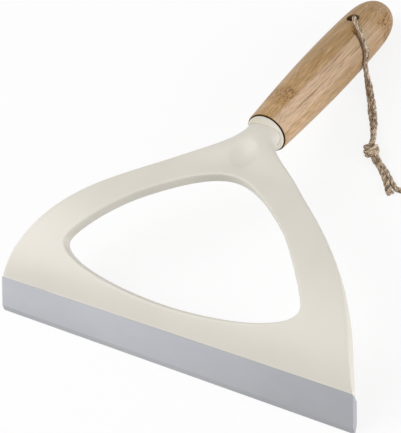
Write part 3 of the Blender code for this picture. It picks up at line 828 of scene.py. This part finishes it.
def jute(settings):
    """Coarse jute: fibres twisted along each ply, pale and dark in turns."""
    material, tree, shader = new_material("jute_twine")
    own = object_coordinates(tree)
    way = separated(tree, add_node(tree, "ShaderNodeUVMap", uv_map="Along").outputs[0])
    twist = product(tree, way["Y"], FIBRE_TWIST)
    turn = maths(tree, "MULTIPLY_ADD", way["X"], 2 * math.pi, twist)
    round_ply = combined(
        tree, maths(tree, "COSINE", turn), maths(tree, "SINE", turn), way["Y"]
    )
    strands = stretched(tree, round_ply, (2.4, 2.4, 330), 2.0, 0.6)
    fine = stretched(tree, round_ply, (7, 7, 620), 2.0, 0.6)
    patches = cloudy(tree, own, 300.0, 2.0, 0.5)
    pale = tinted(settings.colour, 1.95, 2.2, 2.5)
    dark = tinted(settings.colour, 0.14, 0.1, 0.08)
    colour = mixed(tree, ramp(tree, strands, 0.49, 0.55), settings.colour, pale)
    colour = mixed(tree, ramp(tree, strands, 0.46, 0.4), colour, dark)
    colour = mixed(tree, ramp(tree, fine, 0.56, 0.68, 0.0, 0.6), colour, pale)
    colour = mixed(tree, ramp(tree, fine, 0.42, 0.32, 0.0, 0.75), colour, dark)
    colour = mixed(tree, ramp(tree, patches, 0.42, 0.68, 0.0, 0.4), colour, dark)

    # Painted shade: darker low down, where it lies on the table
    low = ramp(tree, separated(tree, own)["Z"], 0.5 * MM, 1.8 * MM, 0.5, 0.0)
    tree.links.new(mixed(tree, low, colour, dark), shader.inputs["Base Color"])
    ridges = bump(tree, strands, 0.25 * MM, 0.8)
    tree.links.new(bump(tree, fine, 0.1 * MM, 0.7, ridges), shader.inputs["Normal"])
    shader.inputs["Roughness"].default_value = 0.85
    shader.inputs["Specular IOR Level"].default_value = 0.25
    shader.inputs["Sheen Weight"].default_value = 0.15
    shader.inputs["Sheen Roughness"].default_value = 0.5
    return material


# Twine

# A ply: the sides of its tube, the step between its rings, how far plies are pressed
# into each other, and how far from a cut end they start to open
PLY_SIDES = 9
RING_STEP = 0.55 * MM
PLY_FULLNESS = 1.22
FRAY_REACH = 26 * MM
# Lumps along a ply: their length, and how much they swell it and turn it
LUMP_LENGTH = 4 * MM
LUMP_SWELL = 0.1
LUMP_TURN = 0.35
# Its rough surface: length along the ply, change round it, and height
ROUGH_LENGTH = 1.7 * MM
ROUGH_ROUND = 1.3
ROUGH_HEIGHT = 0.16
# Shifts that give each ply its own lumps, roughness and pattern, and each strand its own
PLY_LUMPS_SHIFT = 7.3
PLY_ROUGH_SHIFT = 11
PLY_PATTERN_SHIFT = 0.137
STRAND_SHIFT = 3.7
# A fibre: its radius, the share lost at its tip, the turns of its three corners in
# radians, and where its points lie along it
FIBRE_RADIUS = 0.07 * MM
FIBRE_TAPER = 0.7
FIBRE_CORNERS = (0.0, 2.094, 4.189)
FIBRE_STEPS = (0.0, 0.25, 0.5, 0.75, 1.0)
# Stray fibres: where they leave, as a share of the thickness, their length and lift
FIBRE_ROOT = 0.4
FIBRE_REACH = 3.2 * MM
FIBRE_LIFT = 0.75 * MM
# The brush at a cut end: its width as a share of the thickness, how deep it starts, how
# far it stands out and how far it opens
BRUSH_WIDTH = 0.45
BRUSH_DEPTH = 4 * MM
BRUSH_REACH = 0.8 * MM
BRUSH_OPEN = 0.9 * MM
# The least height above the table of a fibre's middle and of any corner
FIBRE_GAP = 0.15 * MM
TABLE_GAP = 0.08 * MM
# How much thicker the loose twine looks than its pulled diameter, also in the knot, and
# how much wider the knot is than its strands say
FLUFF = 1.1
KNOT_FLUFF = 1.12
KNOT_SWELL = 1.05


def bezier_point(start, start_handle, end_handle, end, t):
    """Point of a cubic Bezier curve."""
    back = 1.0 - t
    return (
        back**3 * start
        + 3 * back * back * t * start_handle
        + 3 * back * t * t * end_handle
        + t**3 * end
    )


def smooth_route(points):
    """Points about a ring step apart on a smooth curve through a route's points."""
    knots = [Vector(point) * MM for point in points]
    knots.insert(0, knots[0] * 2 - knots[1])
    knots.append(knots[-1] * 2 - knots[-2])
    path = []
    for before, start, end, after in zip(knots, knots[1:], knots[2:], knots[3:]):
        reach = (end - start).length
        leave = (end - before).normalized() * reach / 3
        arrive = (after - start).normalized() * reach / 3
        count = max(1, round(reach / RING_STEP))
        for i in range(count):
            path.append(
                bezier_point(start, start + leave, end - arrive, end, i / count)
            )
    return path + [knots[-2]]


def way_at(path, i):
    """The direction of a path at one of its points."""
    return (path[min(i + 1, len(path) - 1)] - path[max(i - 1, 0)]).normalized()


def turned(side, up, turn):
    """The direction at an angle from side towards up."""
    return side * math.cos(turn) + up * math.sin(turn)


def carried_frames(path):
    """The way along a path at each point, and two directions across it, without spin."""
    side = way_at(path, 0).orthogonal().normalized()
    frames = []
    for i in range(len(path)):
        way = way_at(path, i)
        side = (side - way * side.dot(way)).normalized()
        frames.append((way, side, way.cross(side)))
    return frames


def join_rings(bm, ring, after):
    """Adds the smooth faces of a tube between two of its rings."""
    faces = []
    for k in range(len(ring)):
        j = (k + 1) % len(ring)
        faces.append(bm.faces.new((ring[k], after[k], after[j], ring[j])))
        faces[-1].smooth = True
    return faces


def lay_plies(bm, along_layer, path, settings, thickness, seed, fray):
    """Adds twisted plies along a path to a mesh; fray spreads them at the path's end."""
    frames = carried_frames(path)
    plies = settings.plies
    swing = 1.0 / math.sin(math.pi / plies)
    ply_radius = thickness / 2 / (1 + swing) * PLY_FULLNESS
    ply_offset = thickness / 2 - ply_radius
    for ply in range(plies):
        shift = PLY_PATTERN_SHIFT * ply
        run = 0.0
        rings = []
        for i, (point, (way, side, up)) in enumerate(zip(path, frames)):
            if i:
                run += (point - path[i - 1]).length
            left = (len(path) - 1 - i) * RING_STEP
            spread = 1.0 + fray * max(0.0, 1 - left / FRAY_REACH)
            lumps = noise.noise(Vector((run / LUMP_LENGTH, ply * PLY_LUMPS_SHIFT, seed)))
            angle = 2 * math.pi * (run / settings.lay + ply / plies) + LUMP_TURN * lumps
            out = turned(side, up, angle)
            centre = point + out * ply_offset * spread
            across = way.cross(out)
            ring = []
            for k in range(PLY_SIDES):
                turn = 2 * math.pi * k / PLY_SIDES
                rough = noise.noise(
                    Vector(
                        (
                            math.cos(turn) * ROUGH_ROUND,
                            math.sin(turn) * ROUGH_ROUND,
                            run / ROUGH_LENGTH + seed + PLY_ROUGH_SHIFT * ply,
                        )
                    )
                )
                swell = 1 + ROUGH_HEIGHT * rough + LUMP_SWELL * lumps
                radius = ply_radius * swell * (0.7 + 0.3 * spread)
                ring.append(bm.verts.new(centre + turned(out, across, turn) * radius))
            rings.append((ring, run))
        for (ring, run), (after, run_after) in zip(rings, rings[1:]):
            for k, face in enumerate(join_rings(bm, ring, after)):
                ends = ((k, run), (k, run_after), (k + 1, run_after), (k + 1, run))
                for loop, (place, length) in zip(face.loops, ends):
                    loop[along_layer].uv = (place / PLY_SIDES, length + shift)
        for (ring, run), flip in ((rings[0], False), (rings[-1], True)):
            face = bm.faces.new(ring[::-1] if flip else ring)
            for loop in face.loops:
                loop[along_layer].uv = (0.5, run + shift)


def add_fibre(bm, along_layer, points, shade):
    """Adds one thin fibre through points, with one tone and a tapering tip."""
    rings = []
    for point in points:
        point.z = max(point.z, FIBRE_GAP)
    for i, point in enumerate(points):
        way = way_at(points, i)
        side = way.orthogonal().normalized()
        over = way.cross(side)
        radius = FIBRE_RADIUS * (1 - FIBRE_TAPER * i / (len(points) - 1))
        rings.append(
            [
                bm.verts.new(point + turned(side, over, turn) * radius)
                for turn in FIBRE_CORNERS
            ]
        )
    for ring, after in zip(rings, rings[1:]):
        for face in join_rings(bm, ring, after):
            for loop in face.loops:
                loop[along_layer].uv = (shade, shade * 0.9)


def add_stray_fibres(bm, along_layer, path, thickness, count, rng):
    """Adds fibres that leave the twine at shallow angles along its whole length."""
    frames = carried_frames(path)
    for _ in range(count):
        i = rng.randrange(1, len(path) - 1)
        way, side, up = frames[i]
        out = turned(side, up, rng.uniform(0, 2 * math.pi))
        round_way = way.cross(out)
        forward = way * rng.choice((-1, 1))
        length = rng.uniform(0.5, 1.0) * FIBRE_REACH
        rise = rng.uniform(0.3, 1.0) * FIBRE_LIFT
        swirl = rng.uniform(-0.5, 0.5)
        start = path[i] + out * thickness * FIBRE_ROOT
        points = [
            start
            + forward * length * t
            + out * rise * t * t
            + round_way * length * swirl * t
            for t in FIBRE_STEPS
        ]
        add_fibre(bm, along_layer, points, rng.random())


def add_brush(bm, along_layer, path, thickness, count, rng):
    """Adds the loose fibres at a cut end, spread like a brush."""
    way, side, up = carried_frames(path)[-1]
    for _ in range(count):
        turn = rng.uniform(0, 2 * math.pi)
        off = math.sqrt(rng.random())
        out = turned(side, up, turn)
        start = path[-1] - way * BRUSH_DEPTH + out * thickness * BRUSH_WIDTH * off
        length = BRUSH_DEPTH + rng.uniform(-0.6, 1.0) * BRUSH_REACH
        points = [
            start + way * length * t + out * BRUSH_OPEN * off * t * t
            for t in FIBRE_STEPS
        ]
        add_fibre(bm, along_layer, points, rng.random())


def twine_mesh(name, strands, settings, thickness, fray=0.0, fibres=0, brush=0):
    """One mesh of twine along each path, with its stray fibres and its cut end."""
    rng = random.Random(name)
    bm = bmesh.new()
    along_layer = bm.loops.layers.uv.new("Along")
    for number, path in enumerate(strands):
        seed = STRAND_SHIFT * number + len(name)
        lay_plies(bm, along_layer, path, settings, thickness, seed, fray)
        add_stray_fibres(bm, along_layer, path, thickness, fibres, rng)
        add_brush(bm, along_layer, path, thickness, brush, rng)
    for vertex in bm.verts:
        vertex.co.z = max(vertex.co.z, TABLE_GAP)
    bmesh.ops.recalc_face_normals(bm, faces=bm.faces)
    mesh = bpy.data.meshes.new(name)
    bm.to_mesh(mesh)
    bm.free()
    return mesh


# The steps

# Edges sharper than these stay sharp: under the head's subdivision surface, and
# elsewhere on the head and the handle
HEAD_CREASE = math.radians(48)
SHARP_EDGE = math.radians(40)


class SQUEEGEE_OT_mould_head(bpy.types.Operator):
    """Makes the moulded head with its satin cream finish"""

    bl_idname = "squeegee.mould_head"
    bl_label = "Mould the head"

    def execute(self, context):
        material = cream_plastic(context.scene.squeegee_head)
        head = merged_copy("head_frame", "head_moulding", material)
        crease_sharp_edges(head, HEAD_CREASE)
        subdivided(head)
        # The thumb hollow, pressed in from above
        for vertex in head.data.vertices:
            off = vertex.co - HOLLOW_CENTRE
            share = math.hypot(off.x, off.y) / HOLLOW_RADIUS
            if share < 1 and vertex.normal.z > 0.5:
                dip = HOLLOW_DEPTH * (0.5 + 0.5 * math.cos(math.pi * share))
                vertex.co -= vertex.normal * dip
        shaded(head, SHARP_EDGE)
        return {"FINISHED"}


# The parts of the blade that flare or are pressed up: within these of its end and root
END_REACH = 1 * MM
ROOT_REACH = 1.5 * MM
# Its edges: flat faces join below the first angle, the bevel starts at the second and
# the shading breaks at the third
BLADE_FLAT = math.radians(1.0)
BLADE_BEVEL = math.radians(28)
BLADE_SHARP = math.radians(35)


class SQUEEGEE_OT_cut_blade(bpy.types.Operator):
    """Makes the rubber blade with softened edges and a ground lip"""

    bl_idname = "squeegee.cut_blade"
    bl_label = "Cut the blade"

    def execute(self, context):
        settings = context.scene.squeegee_blade
        blade = merged_copy("squeegee_blade", "blade_strip", grey_rubber(settings))
        turn = Matrix.Rotation(LYING_ANGLE, 3, "X")
        up_slope = Vector((0, math.cos(BLADE_SLOPE), math.sin(BLADE_SLOPE)))
        for vertex in blade.data.vertices:
            own = turn @ (vertex.co - LYING_PLACE)
            down = -own.y * math.cos(BLADE_SLOPE) - own.z * math.sin(BLADE_SLOPE)
            share = min(1.0, max(0.0, down / BLADE_HEIGHT))
            if abs(own.x) > BLADE_HALF_LENGTH - END_REACH:
                vertex.co.x += math.copysign(END_FLARE * share, own.x)
            if abs(down) < ROOT_REACH:
                own += up_slope * BOND_LIFT
                vertex.co = turn.inverted() @ own + LYING_PLACE
        make_active(blade)
        bpy.ops.object.mode_set(mode="EDIT")
        bpy.ops.mesh.select_all(action="SELECT")
        bpy.ops.mesh.dissolve_limited(angle_limit=BLADE_FLAT)
        bpy.ops.object.mode_set(mode="OBJECT")
        modifier = blade.modifiers.new("Softened edges", "BEVEL")
        modifier.width = settings.edge_round
        modifier.segments = 3
        modifier.limit_method = "ANGLE"
        modifier.angle_limit = BLADE_BEVEL
        bpy.ops.object.modifier_apply(modifier=modifier.name)
        shaded(blade, BLADE_SHARP)
        return {"FINISHED"}


class SQUEEGEE_OT_turn_handle(bpy.types.Operator):
    """Makes the turned bamboo handle"""

    bl_idname = "squeegee.turn_handle"
    bl_label = "Turn the handle"

    def execute(self, context):
        material = bamboo(context.scene.squeegee_handle)
        handle = merged_copy("bamboo_handle", "handle_bamboo", material)
        crease_sharp_edges(handle, SHARP_EDGE)
        subdivided(handle)
        shaded(handle, SHARP_EDGE)
        return {"FINISHED"}


class SQUEEGEE_OT_lay_twine(bpy.types.Operator):
    """Lays the hanging loop, its knot and its two tails"""

    bl_idname = "squeegee.lay_twine"
    bl_label = "Lay the twine"

    def execute(self, context):
        settings = context.scene.squeegee_twine
        material = jute(settings)
        thick = settings.diameter

        strands = [
            [KNOT_CENTRE + KNOT_TURN @ p * KNOT_SWELL for p in smooth_route(strand)]
            for strand in KNOT_STRANDS
        ]
        knot = new_piece(
            "twine_overhand_knot",
            twine_mesh(
                "twine_overhand_knot",
                strands,
                settings,
                thick * KNOT_FLUFF,
                fibres=settings.fibres // 4,
            ),
            material,
        )
        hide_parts("twine_knot")

        # Each stretch: its name, its node, its route, how far its end frays, and how
        # many fibres it has along it and in its brush
        loop = OVER_STRAND + UNDER_STRAND
        few = settings.fibres // 5
        for name, node, route, fray, fibres, brush in (
            ("twine_hanging_loop", "twine_loop", loop, 0.0, settings.fibres, 0),
            ("twine_cut_end", "twine_short_tail", SHORT_TAIL, 1.1, few, 90),
            ("twine_free_end", "twine_long_tail", LONG_TAIL, 0.5, few, 50),
        ):
            path = smooth_route(route)
            stretch = new_piece(
                name,
                twine_mesh(name, [path], settings, thick * FLUFF, fray, fibres, brush),
                material,
            )
            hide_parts(node)
        return {"FINISHED"}


# The floor: its size, how far it lies below the squeegee, and how white it looks to the
# camera; the rest of it takes the object's shadow
FLOOR_SIZE = 6.0
FLOOR_DROP = 0.05 * MM
FLOOR_WHITENESS = 0.86
# Softboxes: their size, the point that they look at and how far from it they stand
SOFTBOX_SIZE = 1.0
SOFTBOX_AIM = Vector((0.0, -0.02, 0.03))
SOFTBOX_DISTANCE = 1.4


def seen_directly(tree):
    """1 for what the camera sees, also in a reflection or through glass, 0 for light."""
    rays = add_node(tree, "ShaderNodeLightPath").outputs
    mirrored = maths(tree, "MAXIMUM", rays["Is Glossy Ray"], rays["Is Transmission Ray"])
    return maths(tree, "MAXIMUM", rays["Is Camera Ray"], mirrored)


class SQUEEGEE_OT_set_stage(bpy.types.Operator):
    """Sets the floor, the soft lights and the camera"""

    bl_idname = "squeegee.set_stage"
    bl_label = "Set the stage"

    def execute(self, context):
        settings = context.scene.squeegee_stage
        deselect()
        bpy.ops.mesh.primitive_plane_add(size=FLOOR_SIZE, location=(0, 0, -FLOOR_DROP))
        floor = context.object
        floor.name = "floor"
        material, tree, shader = new_material("floor")
        shader.inputs["Base Color"].default_value = settings.floor_colour
        shader.inputs["Roughness"].default_value = 1.0
        shader.inputs["Specular IOR Level"].default_value = 0.0
        white = add_node(tree, "ShaderNodeEmission", {0: (1, 1, 1, 1), 1: 1.0})
        share = product(tree, seen_directly(tree), FLOOR_WHITENESS)
        both = add_node(
            tree,
            "ShaderNodeMixShader",
            {0: share, 1: shader.outputs[0], 2: white.outputs[0]},
        )
        output = tree.nodes["Material Output"]
        tree.links.new(both.outputs[0], output.inputs["Surface"])
        floor.data.materials.append(material)

        world = context.scene.world or bpy.data.worlds.new("room")
        context.scene.world = world
        world.use_nodes = True
        tree = world.node_tree
        room = tree.nodes["Background"]
        room.inputs["Color"].default_value = (1, 1, 1, 1)
        strength = ramp(tree, seen_directly(tree), 0.0, 1.0, settings.sky_strength, 1.0)
        tree.links.new(strength, room.inputs["Strength"])

        # Each softbox: its name, its power, and its turn and rise in degrees
        for name, power, turn, rise in (
            ("left_softbox", settings.left_light, 202.5, 38.0),
            ("top_softbox", settings.top_light, 225.0, 62.0),
            ("right_softbox", settings.right_light, 0.0, 15.0),
        ):
            light = bpy.data.lights.new(name, "AREA")
            light.energy = power
            light.shape = "SQUARE"
            light.size = SOFTBOX_SIZE
            lamp = bpy.data.objects.new(name, light)
            way = Vector((1, 0, 0))
            way.rotate(Euler((0, -math.radians(rise), math.radians(turn))))
            lamp.location = SOFTBOX_AIM + way * SOFTBOX_DISTANCE
            lamp.rotation_euler = way.to_track_quat("Z", "Y").to_euler()
            context.scene.collection.objects.link(lamp)

        camera = bpy.data.cameras.new("camera")
        camera.sensor_fit = "HORIZONTAL"
        camera.sensor_width = 36.0
        camera.lens = settings.camera_lens
        eye = bpy.data.objects.new("camera", camera)
        eye.location = settings.camera_place
        eye.rotation_euler = Euler(settings.camera_turn)
        context.scene.collection.objects.link(eye)
        context.scene.camera = eye
        context.scene.view_settings.view_transform = "Standard"
        return {"FINISHED"}


class SQUEEGEE_PT_panel(bpy.types.Panel):
    """Lists the steps and their settings"""

    bl_label = "Squeegee"
    bl_idname = "SQUEEGEE_PT_panel"
    bl_space_type = "VIEW_3D"
    bl_region_type = "UI"
    bl_category = "Squeegee"

    def draw(self, context):
        for operator, name, _ in STEPS:
            box = self.layout.box()
            box.operator(operator.bl_idname)
            settings = getattr(context.scene, name)
            for key in settings.__annotations__:
                box.prop(settings, key)


# The steps in their order: each operator with the name and the class of its settings
STEPS = (
    (SQUEEGEE_OT_set_stage, "squeegee_stage", StageSettings),
    (SQUEEGEE_OT_lay_twine, "squeegee_twine", TwineSettings),
    (SQUEEGEE_OT_mould_head, "squeegee_head", HeadSettings),
    (SQUEEGEE_OT_cut_blade, "squeegee_blade", BladeSettings),
    (SQUEEGEE_OT_turn_handle, "squeegee_handle", HandleSettings),
)


def register():
    """Registers the settings, the operators and the panel."""
    for operator, name, group in STEPS:
        bpy.utils.register_class(group)
        setattr(bpy.types.Scene, name, PointerProperty(type=group))
        bpy.utils.register_class(operator)
    bpy.utils.register_class(SQUEEGEE_PT_panel)


def unregister():
    """Takes them all out again."""
    bpy.utils.unregister_class(SQUEEGEE_PT_panel)
    for operator, name, group in reversed(STEPS):
        bpy.utils.unregister_class(operator)
        delattr(bpy.types.Scene, name)
        bpy.utils.unregister_class(group)


def main():
    register()
    for operator, _, _ in STEPS:
        namespace, name = operator.bl_idname.split(".")
        getattr(getattr(bpy.ops, namespace), name)()
    deselect()


if __name__ == "__main__":
    main()
